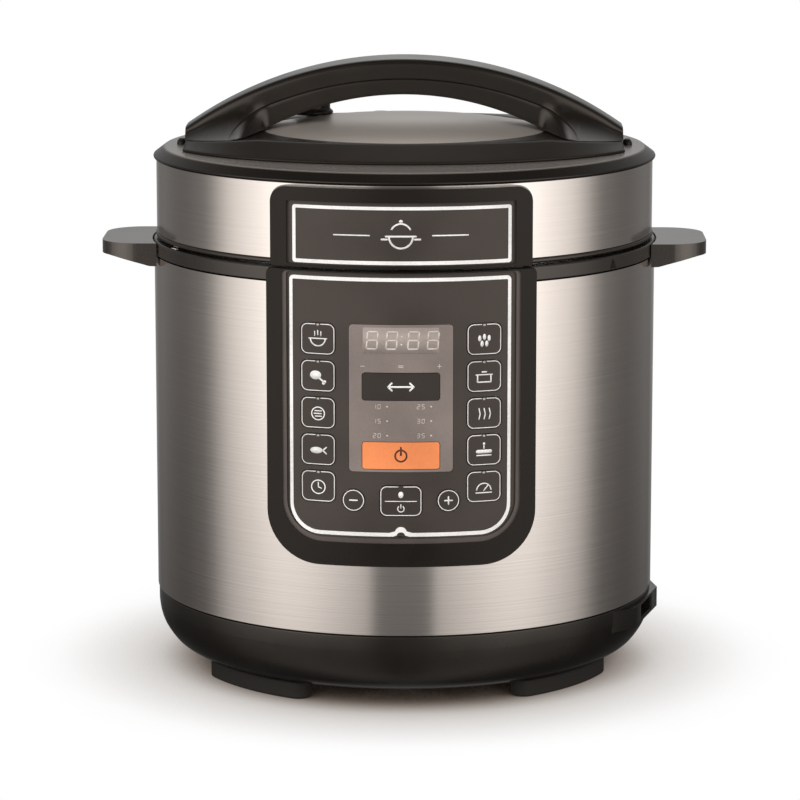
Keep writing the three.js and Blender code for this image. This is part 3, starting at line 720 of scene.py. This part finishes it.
def digit(value, x, z, wide, tall, width):
    trim = width * 0.62
    parts = []
    for name in digitParts[value]:
        (x0, z0), (x1, z1) = segments[name]
        start = Vector((x + x0 * wide + z0 * tall * 0.08, z + z0 * tall))
        end = Vector((x + x1 * wide + z1 * tall * 0.08, z + z1 * tall))
        pull = (end - start).normalized() * trim
        start, end = start + pull, end - pull
        parts.append(("bar", start.x, start.y, end.x, end.y, width))
    return parts


# the digits' window and left edges, the plus and minus signs, and the two columns of numbers
display = {"film": 0.12, "field": ((-19.4, 19.4), (190.2, 203.6)), "digits": (-17.6, -7.6, 3.4, 13.4),
           "digitLow": 192.6, "digitSize": (5.3, 8.8, 0.85), "sign": 183.6, "rowTop": 161.8, "rowStep": 7.5,
           "numberSize": (1.3, 2.2, 0.3), "numberStep": 2.4,
           "columns": {-14.2: ("10", "15", "20"), 8.2: ("25", "30", "35")}}


def makeDisplay(holes):
    window = [roundedBox(*outlineOf("display_window"), 2.0)] + holes["window"]
    film, sign = display["film"], display["sign"]
    top = panel["face"] + film
    plate = bentPlate(window, 136.4, top)
    addPiece("displayFilm", plate, filmDisplay, "housing", ["display_window"], film, 2)
    printed("digitField", [[roundedBox(*display["field"], 0.6)]], filmLcd, "housing", top)
    parts = []
    for x in display["digits"]:
        parts += digit("8", x, display["digitLow"], *display["digitSize"])
    parts += [("disc", 0.6, 199.0, 0.55, 0.55), ("disc", 0.2, 194.9, 0.55, 0.55)]
    printed("bigDigits", strokes(parts), printCream, "housing", top + 0.06)
    parts = [("bar", -20.5, sign, -18.5, sign, 0.35), ("bar", -1.2, sign + 0.4, 1.2, sign + 0.4, 0.35),
             ("bar", -1.2, sign - 0.4, 1.2, sign - 0.4, 0.35), ("bar", 18.5, sign, 20.5, sign, 0.35),
             ("bar", 19.5, sign - 1, 19.5, sign + 1, 0.35)]
    for left, values in display["columns"].items():
        for row, text in enumerate(values):
            low = display["rowTop"] - row * display["rowStep"]
            for place, value in enumerate(text):
                parts += digit(value, left + place * display["numberStep"], low, *display["numberSize"])
            parts.append(("disc", left + 7.2, low + 1.1, 0.5, 0.5))
    printed("smallMarks", strokes(parts), printCream, "housing", top)


def whiteLine(outer, inner, name, body, radius):
    plate = bentPlate([outer, inner], radius - 0.3, radius + 0.22)
    addPiece(name, plate, printWhite, body, (), 0.12, 2)


def bottomNotched(xRange, zRange, low, high, bump):
  # a rounded outline whose bottom edge rises over the small half-round lamp
    (x0, x1), (z0, z1) = xRange, zRange
    wave = [(-bump * 1.9, z0)] + arc((0, z0), bump, 165, 15, 10) + [(bump * 1.9, z0)]
    return (wave + arc((x1 - low, z0 + low), low, -90, 0, 12) + arc((x1 - high, z1 - high), high, 0, 90, 4)
            + arc((x0 + high, z1 - high), high, 90, 180, 4) + arc((x0 + low, z0 + low), low, 180, 270, 12))


def makePanel():
    holes = makeKeys()
    back, level = panel["back"], panel["face"]
    window = roundedBox(*grownBy(*outlineOf("display_window"), 0.2), 2.2)
    face = [roundedBox((-60.8, 60.8), (92.2, 231.4), 20.5, 2.5), window] + holes["face"]
    addPiece("panelFilm", bentPlate(face, back, level), filmDark, "housing", ["panel_face"], 0.15, 2)
    makeDisplay(holes)
    bezel = [roundedBox(*panel["frame"]), roundedBox(*panel["window"])]
    frameBar = bentPlate(bezel, back, panel["bezel"], 2)
    addPiece("lowerBezel", frameBar, bezelPlastic, "housing", ["panel_bezel"], 1.1, 4)
    ridge = [roundedBox(*panel["ridgeOut"]), roundedBox(*panel["ridgeIn"])]
    line = bentPlate(ridge, level - 0.3, level + 1.0, 2)
    # the ridge wears the lighter finish as a painted highlight
    addPiece("bezelRidge", line, ridgeHighlightPlastic, "housing", (), 0.45, 3)
    outer = bottomNotched((-56.95, 55.95), (95.4, 229.0), 15.5, 2.2, 2.3)
    inner = bottomNotched((-55.3, 54.3), (97.35, 227.1), 13.8, 0.6, 3.1)
    whiteLine(outer, inner, "lowerWhiteLine", "housing", level)
    printed("bottomLamp", [[arc((0, 95.0), 1.9, 0, 180, 10)]], filmSelect, "housing", level + 0.02)


def makeUpperPanel():
    level = upper["face"]
    bezel = [roundedBox(*upper["frame"]), roundedBox(*upper["window"])]
    frameBar = bentPlate(bezel, upper["back"], upper["bezel"], 2)
    addPiece("upperBezelFrame", frameBar, bezelPlastic, "lid", ["upper_bezel"], 1.2, 4)
    plate = [roundedBox((-58.6, 58.6), (234.7, 267.4), 1)]
    sheet = bentPlate(plate, upper["plate"], level)
    addPiece("namePlate", sheet, filmDark, "lid", ["name_plate"], 0.1, 2)
    outer = roundedBox((-55.25, 55.95), (235.6, 265.15), 1.4)
    inner = roundedBox((-53.6, 54.3), (237.5, 263.45), 0.5)
    whiteLine(outer, inner, "upperWhiteLine", "lid", level)
    sign = [("arc", 0, 0.5, 6.6, 180, 360, 1.0), ("bar", -7.6, 0.5, 7.6, 0.5, 1.0),
            ("bar", -9.8, -1.0, -7.0, -1.0, 1.0), ("bar", 7.0, -1.0, 9.8, -1.0, 1.0),
            ("arc", 0, 1.6, 5.8, 25, 155, 0.9), ("disc", 0, 8.2, 1.0, 0.8)]
    printed("potSign", strokes(sign), printWhite, "lid", level + 0.02, (0, 249.6))
    rules = [("bar", -34, 0, -16, 0, 0.7), ("bar", 16, 0, 34, 0, 0.7)]
    printed("plateRules", strokes(rules), printWhite, "lid", level + 0.02, (0, 250.5))


makePanel()
makeUpperPanel()
print("panel made")


# lid
lid = {"cut": 117.0, "coverTop": 290.3, "opening": 76.4, "drop": 4.8}
releaseAt, floatAt = (-51, 36), (-14, 62)  # the two valves


def endShare(x):  # 0 at the cover's opening, 1 at its tips
    return min(1.0, max(0.0, (abs(x) - lid["opening"]) / (lid["cut"] - lid["opening"])))


def lensLoop(a, b, cut, z, drop=0.0, sides=192):
    loop = []
    for i in range(sides):
        angle = math.tau * (i + 0.5) / sides
        c, s = math.cos(angle), math.sin(angle)
        radius = min(1 / math.hypot(c / a, s / b), cut / abs(c))
        loop.append((radius * c, radius * s, z - drop * endShare(radius * c)))
    return loop


def makeLidShell():
    rim = [(124.4, 233.4), (133.2, 233.4), (134, 234.2), (134, 235.2), (133.4, 235.9), (124.4, 235.9)]
    addPiece("lowerRim", spun(rim), collarPlastic, "lid", ["lid_lower_rim"], 0.2, 2)
    band = [(133.5, 236.1), (133.5, 275.2), (132.5, 275.2), (132.5, 236.1)]
    addPiece("lidBand", spun(band), bodySteel, "lid", ["lid_skirt"], 0.2, 2)
    top = [(132, 275.4), (134.4, 275.4), (135, 276), (135, 276.8), (129, 281.3), (82, 281.3), (82, 278.8),
           (128.4, 278.8)]
    addPiece("topRim", spun(top), rimPlastic, "lid", ["lid_top_rim"], 0.5, 4)
    for name, side in (("Left", -1), ("Right", 1)):
        nub = bmesh.new()
        bmesh.ops.create_uvsphere(nub, u_segments=32, v_segments=16, radius=mm)
        bmesh.ops.scale(nub, vec=(2.7, 5.0, 3.2), verts=nub.verts)
        moveBy(nub, side * 119.9, 0, 281.5)
        addPiece("lidNub" + name, nub, coverPlastic, "lid")
    cut, high, opening, drop = lid["cut"], lid["coverTop"], lid["opening"], lid["drop"]
    loops = [lensLoop(127, 97, cut, 281.6), lensLoop(127, 97, cut, 282.5)]
    for i in range(6):  # up the slope from the foot to the top edge
        t = i / 5
        loops.append(lensLoop(126.6 - 4.3 * t, 95.9 - 15.4 * t, cut - 0.1 - 0.5 * t, 283.0 + 6.7 * t,
                              drop * (0.05 + 0.9 * t)))
    loops += [lensLoop(121.9, 79.4, cut - 0.9, 290.15, drop), lensLoop(121.2, 78.3, cut - 1.7, high, drop)]
    loops += [lensLoop(opening + grow, opening + grow, 200, level)
              for grow, level in ((0.7, high), (0, high - 0.8), (0, high - 5), (2, 281.4))]
    addPiece("lidCover", bridged(loops, True), coverPlastic, "lid", ["lid_cover"])
    foot, rise, steps = 290.0, 5.9, 24
    across = [(opening - 0.3) * i / steps for i in range(steps + 1)]
    crown = [(r, foot + rise * (1 - (r / opening) ** 2.8)) for r in across]
    under = [(r, z - 1) for r, z in reversed(crown)]
    dome = addPiece("steelDisc", spun(crown + under), discSteel, "lid", ["lid_dome"], 0.2, 2)
    ways = [spun([(0, 280), (r, 280), (r, 300), (0, 300)], 48, at=place)
            for r, place in ((8, releaseAt), (5.2, floatAt))]
    cutAway(dome, joined(*ways))


# curves are a top height and a radius; the curl and the legs are ranges along x
handle = {"reach": 117.0, "crown": (328.9, 204.0), "crease": (318.0, 194.0), "grip": (309.7, 156.1),
          "halfWidth": 17.5, "taper": 2.0, "gap": 0.15, "curl": (78.0, 92.0), "legs": (72.0, 90.0),
          "plan": (122.0, 79.5), "corner": 4.2, "shoulder": 5.0}


def heightAt(curve, x):
    top, radius = curve
    return top - radius + math.sqrt(radius * radius - x * x)


def legFloor(x):
    return lid["coverTop"] - lid["drop"] * endShare(x) + handle["gap"]


def halfWidthAt(x, z):  # upright in the middle, spread over the cover by the legs
    a, b = handle["plan"]
    near, far = handle["legs"]
    top = handle["halfWidth"] - handle["taper"] * (abs(x) / handle["reach"]) ** 4
    edge = b * math.sqrt(1 - (x / a) ** 2) - 1.5
    t = min(1.0, max(0.0, (abs(x) - near) / (far - near)))
    level = (z - legFloor(x)) / (heightAt(handle["crown"], x) - legFloor(x))
    return top + (edge - top) * t * t * (3 - 2 * t) * max(0.0, 1 - level) ** 2.6


def bothSides(x, right):
    return [(x, y, z) for y, z in right] + [(x, -y, z) for y, z in reversed(right)]


def sectionSide(x, low, high, lip):  # one flank from its foot up, with a small rounded foot
    tall = high - low
    rows = [lip * 0.35, lip] + [lip + (tall - lip) * part for part in (0.07, 0.16, 0.28, 0.42, 0.58, 0.78)]
    foot = halfWidthAt(x, low)
    return ([(foot - lip * 1.3, low), (foot - lip * 0.3, low + lip * 0.05)]
            + [(halfWidthAt(x, low + row), low + row) for row in rows])


def creaseAt(x):  # the crease curls down to the cover at the legs
    start, end = handle["curl"]
    t = min(1.0, max(0.0, (abs(x) - start) / (end - start)))
    low = max(legFloor(x), heightAt(handle["grip"], x))
    return low + (heightAt(handle["crease"], x) - low) * math.sqrt(1 - t * t)


def upperSection(x):
    top = heightAt(handle["crown"], x)
    inner = abs(x) < handle["curl"][1]
    low = creaseAt(x) + handle["gap"] if inner else legFloor(x)
    tall = top - low
    corner = min(handle["corner"], tall * 0.45)
    wide = halfWidthAt(x, top)
    right = sectionSide(x, low, top - corner, min(0.6, tall * 0.1))
    for angle in (0, 15, 30, 45, 60, 75):
        turned = math.radians(angle)
        inset = handle["shoulder"] * (1 - math.cos(turned))
        right.append((wide - inset, top - corner * (1 - 0.92 * math.sin(turned))))
    right += [(wide * 0.6, top - corner * 0.03), (wide * 0.25, top)]
    return bothSides(x, right)


def lowerSection(x):
    top = creaseAt(x)
    low = max(legFloor(x), heightAt(handle["grip"], x))
    tall = top - low
    right = sectionSide(x, low, top - 0.4, min(1.6, tall * 0.3))
    wide = halfWidthAt(x, top)
    right += [(wide, top - 0.4), (wide - 0.5, top), (wide * 0.5, top)]
    return bothSides(x, right)


def makeLidHandle():
    reach, (curlStart, curlEnd) = handle["reach"], handle["curl"]
    steps = 60
    straight = [curlStart * i / steps for i in range(-steps, steps + 1)]
    curl = [curlStart + (curlEnd - curlStart) * math.sin(math.pi / 2 * i / 18) for i in range(1, 18)]
    inner = [-x for x in reversed(curl)] + straight + curl
    tips = [curlEnd, *range(94, 116, 2), 115.5, 116.5, reach]
    places = [-x for x in reversed(tips)] + inner + tips
    shell = bridged([upperSection(x) for x in places])
    addPiece("lidHandleShell", shell, handlePlastic, "lid", ["lid_handle"])
    grip = bridged([lowerSection(x) for x in inner])
    addPiece("lidHandleGrip", grip, handlePlastic, "lid", ["handle_grip"])


def makeValves():
    knob = [(0, 300.5), (3.7, 300.5), (3.7, 293.8), (10.8, 293.8), (11.5, 294.4), (11.5, 295.6),
            (10.6, 296.3), (9.9, 297), (9.9, 305.4), (9.4, 307), (8.2, 308), (0, 308)]
    turned = spun(knob, 64, at=releaseAt)
    addPiece("releaseKnob", turned, blackPlastic, "release_valve", ["pressure_release_valve"], 0.4, 3)
    wing = raisedPlan(roundedBox((-8.6, 8.6), (-1.7, 1.7), 1.6), 307.6, 312.5)
    moveBy(wing, *releaseAt)
    addPiece("releaseWing", wing, blackPlastic, "release_valve", (), 0.7, 3)
    pin = [(0, 235), (3.6, 235), (3.6, 236.1), (2.2, 236.1), (2.2, 289.4), (4.5, 290), (4.5, 291.8),
           (3.8, 292.6), (0, 292.6)]
    addPiece("floatPin", spun(pin, 48, at=floatAt), wireSteel, "float", ["float_valve"], 0.15, 2)


def makeLidInside():
    plate = [(0, 243.6), (119.4, 243.6), (121.8, 242.6), (122.4, 240.4), (122.4, 221.6), (124, 221.6),
             (124, 241.6), (123, 244.2), (120.2, 245.2), (0, 245.2)]
    whole = joined(spun(plate), *sixLugs(122.1, 123.4, 221.7, 224.6))
    addPiece("pressurePlate", whole, plateSteel, "lid", ["lid_plate"], 0.25, 2)
    ring = [(106.5, 232.4), (107.2, 231.9), (116.9, 231.9), (117.8, 232.6), (118.6, 236), (118.6, 242),
            (118, 242.6), (115, 242.6), (112, 239), (108, 237), (106.5, 235)]
    addPiece("sealRing", spun(ring), whiteSilicone, "seal", ["sealing_ring"], 0.4, 3)
    wire = arc((104, 239.5), 1.3, 0, 330, 11)
    addPiece("sealWire", spun(wire), wireSteel, "lid", ["seal_support_ring"])
    shield = [(0, 231.8), (10.2, 231.8), (11, 232.8), (11, 243.2), (10, 243.2), (10, 232.9), (0, 232.9)]
    cap = spun(shield, 64, at=releaseAt)
    cap = addPiece("ventShield", cap, wireSteel, "lid", ["anti_block_shield"], 0.15, 2)
    cutAway(cap, tenSlots((7, 14), 1, 235, 241, releaseAt, 3))


makeLidShell()
makeLidHandle()
makeValves()
makeLidInside()
print("lid made")


# pot and heater
def makePot():
    pot = [(0, 60.5), (98, 60.5)] + arc((97.5, 72), 11.5, -88, 0, 12) + [(109, 226)]
    pot += [(109.6, 228.4), (111.4, 229.6), (117.4, 229.7), (117.4, 231), (111, 230.9), (108.6, 229.8),
            (107.6, 227.4)]
    pot += arc((97.5, 72.2), 10.1, 0, -90, 12) + [(0, 62.2)]
    addPiece("cookingPot", spun(pot), potSteel, "pot", ["inner_pot"], 0.15, 2)
    outer = [(22, 46), (109, 46), (113.6, 48.4), (115, 53), (115, 226), (118.5, 226), (118.5, 229.2),
             (113.5, 229.2), (113.5, 54), (112.4, 50.4), (108.4, 48.2), (22, 48.2)]
    whole = joined(spun(outer), *sixLugs(118.3, 121.6, 226.1, 229.1))
    addPiece("heaterPot", whole, plateSteel, "housing", ["outer_pot"], 0.25, 2)
    heater = [(15, 50), (80, 50), (86, 52), (90, 56), (90, 58), (88.6, 59.4), (86, 60), (62, 60),
              (61.4, 59.5), (60, 59.5), (59.4, 60), (32, 60), (31.4, 59.5), (30, 59.5), (29.4, 60), (15, 60)]
    addPiece("heaterDisc", spun(heater), castAluminium, "housing", ["heating_plate"], 0.2, 2)
    plunger = [(0, 42.5), (3.6, 42.5), (3.6, 59.2), (11.4, 59.2), (11.4, 57), (12.5, 57), (12.5, 59.4),
               (11.6, 60.1), (0, 60.1)]
    addPiece("sensorCap", spun(plunger, 64), wireSteel, "sensor", ["sensor_plunger"], 0.3, 3)


makePot()

kept = {"sensor_bracket": wireSteel, "sensor_spring": wireSteel, "pressure_switch": bezelPlastic,
        "power_board": boardGreen, "control_board": boardGreen, "inlet_contacts": warmBrass,
        "vent_pipe": wireSteel, "float_seal": whiteSilicone}
for name, finish in kept.items():
    node = frame["nodes"][name]
    node.data.materials.clear()
    node.data.materials.append(finish.material)
print("inside made")


# floor, light and camera
studio = {"eye": (0.0255, -1.9968, 0.5087), "turn": 0.8, "pitch": 10.43, "lens": 167.5,
          "lampAt": (-0.3, -1.6, 0.8), "lampAim": (0, 0, 0.2), "lampSize": 1.4, "lampPower": 14}


def floorPaint():
  # white where seen, with a soft shade gathered round the feet and base
    paint = Finish("floor paint", "", Roughness=1.0, Base_Color=(0.5, 0.5, 0.5, 1))
    shade = paint.node("ShaderNodeAmbientOcclusion", {"samples": 16}, {"Distance": 0.10})
    level = paint.ranged(Wire(paint, shade.outputs["AO"]), 0.04, 0.90, False)
    warm = paint.node("ShaderNodeCombineColor", None, {
        0: level, 1: paint.maths("POWER", level, 1.10), 2: paint.maths("POWER", level, 1.18)})
    glow = paint.node("ShaderNodeEmission", None, {"Color": Wire(paint, warm.outputs[0])})
    seen = Wire(paint, paint.node("ShaderNodeLightPath").outputs["Is Camera Ray"])
    mix = paint.node("ShaderNodeMixShader", None, {
        0: seen, 1: Wire(paint, paint.shader.outputs[0]), 2: Wire(paint, glow.outputs[0])})
    paint.tree.links.new(mix.outputs[0], paint.output.inputs[0])
    return paint.material


def makeFloor():
    bm = bmesh.new()
    bmesh.ops.create_grid(bm, x_segments=1, y_segments=1, size=4.0)
    floor = objectOf("floor", bm)
    floor.data.materials.append(floorPaint())
    floor.visible_glossy = False


def makeSky():  # soft light all round, by its angle from the front
    bands = {0: 0.30, 10: 0.30, 13: 0.42, 15.5: 0.86, 20: 0.98, 26: 1.12, 32: 1.25, 40: 1.43, 48: 1.55,
             56: 1.57, 64: 1.45, 70: 1.27, 77: 1.10, 82: 0.96, 87: 0.80, 92: 0.58, 98: 0.34, 104: 0.21,
             110: 0.18, 117: 0.15, 125: 0.14, 143: 0.17, 158: 0.26, 168: 0.6, 180: 1.0}
    world = bpy.data.worlds.new("studio")
    bpy.context.scene.world = world
    sky = Graph(world)
    coords = sky.node("ShaderNodeTexCoord")
    parts = sky.node("ShaderNodeSeparateXYZ", None, {0: Wire(sky, coords.outputs["Generated"])})
    x, y, z = (Wire(sky, part) for part in parts.outputs)
    azimuth = sky.maths("ABSOLUTE", sky.maths("ARCTAN2", x, y * -1))
    ramp = sky.node("ShaderNodeValToRGB", None, {0: sky.maths("DIVIDE", azimuth, math.pi)})
    stops = ramp.color_ramp.elements
    while len(stops) < len(bands):
        stops.new(0.5)
    for stop, (angle, level) in zip(stops, bands.items()):
        stop.position = angle / 180
        stop.color = (level / 2, level / 2, level / 2, 1)  # halved, as a stop ends at one
    low = sky.ranged(z, -0.34, -0.12, To_Min=0.4, To_Max=2.1)  # darker below, where the table would be
    high = sky.ranged(z, 0.55, 0.90, To_Min=1.0, To_Max=0.12)  # and straight above
    behind = sky.ranged(z, 0.08, 0.45, To_Min=0.50, To_Max=1.15)  # and low down behind
    rear = sky.ranged(y, 0.80, 0.95, False)
    lit = Wire(sky, ramp.outputs[0]) * low * high * (1 - rear * (1 - behind))
    seen = Wire(sky, sky.node("ShaderNodeLightPath").outputs["Is Camera Ray"])
    shown = sky.node("ShaderNodeMix", {"data_type": "RGBA"}, {0: seen, 6: lit, 7: (1, 1, 1, 1)})
    glow = sky.node("ShaderNodeBackground", None, {0: Wire(sky, shown.outputs[2])})
    sky.node("ShaderNodeOutputWorld", None, {0: Wire(sky, glow.outputs[0])})


def makeLamp():  # lifts the matt colours of the front, and leaves no mirror image
    light = bpy.data.lights.new("front", "AREA")
    light.size = studio["lampSize"]
    light.energy = studio["lampPower"]
    lamp = bpy.data.objects.new("front", light)
    lamp.location = studio["lampAt"]
    aim = Vector(studio["lampAim"]) - lamp.location
    lamp.rotation_euler = aim.to_track_quat("-Z", "Y").to_euler()
    lamp.visible_camera = False
    lamp.visible_glossy = False
    bpy.context.scene.collection.objects.link(lamp)


def makeCamera():
    camera = bpy.data.cameras.new("camera")
    camera.lens = studio["lens"]
    camera.sensor_width = 36
    eye = bpy.data.objects.new("camera", camera)
    eye.location = Vector(studio["eye"]) + Vector((0, axisY, 0))
    eye.rotation_euler = (math.radians(90 - studio["pitch"]), 0, math.radians(studio["turn"]))
    bpy.context.scene.collection.objects.link(eye)
    bpy.context.scene.camera = eye
    bpy.context.scene.view_settings.view_transform = "Standard"


makeFloor()
makeSky()
makeLamp()
makeCamera()
print("studio made")
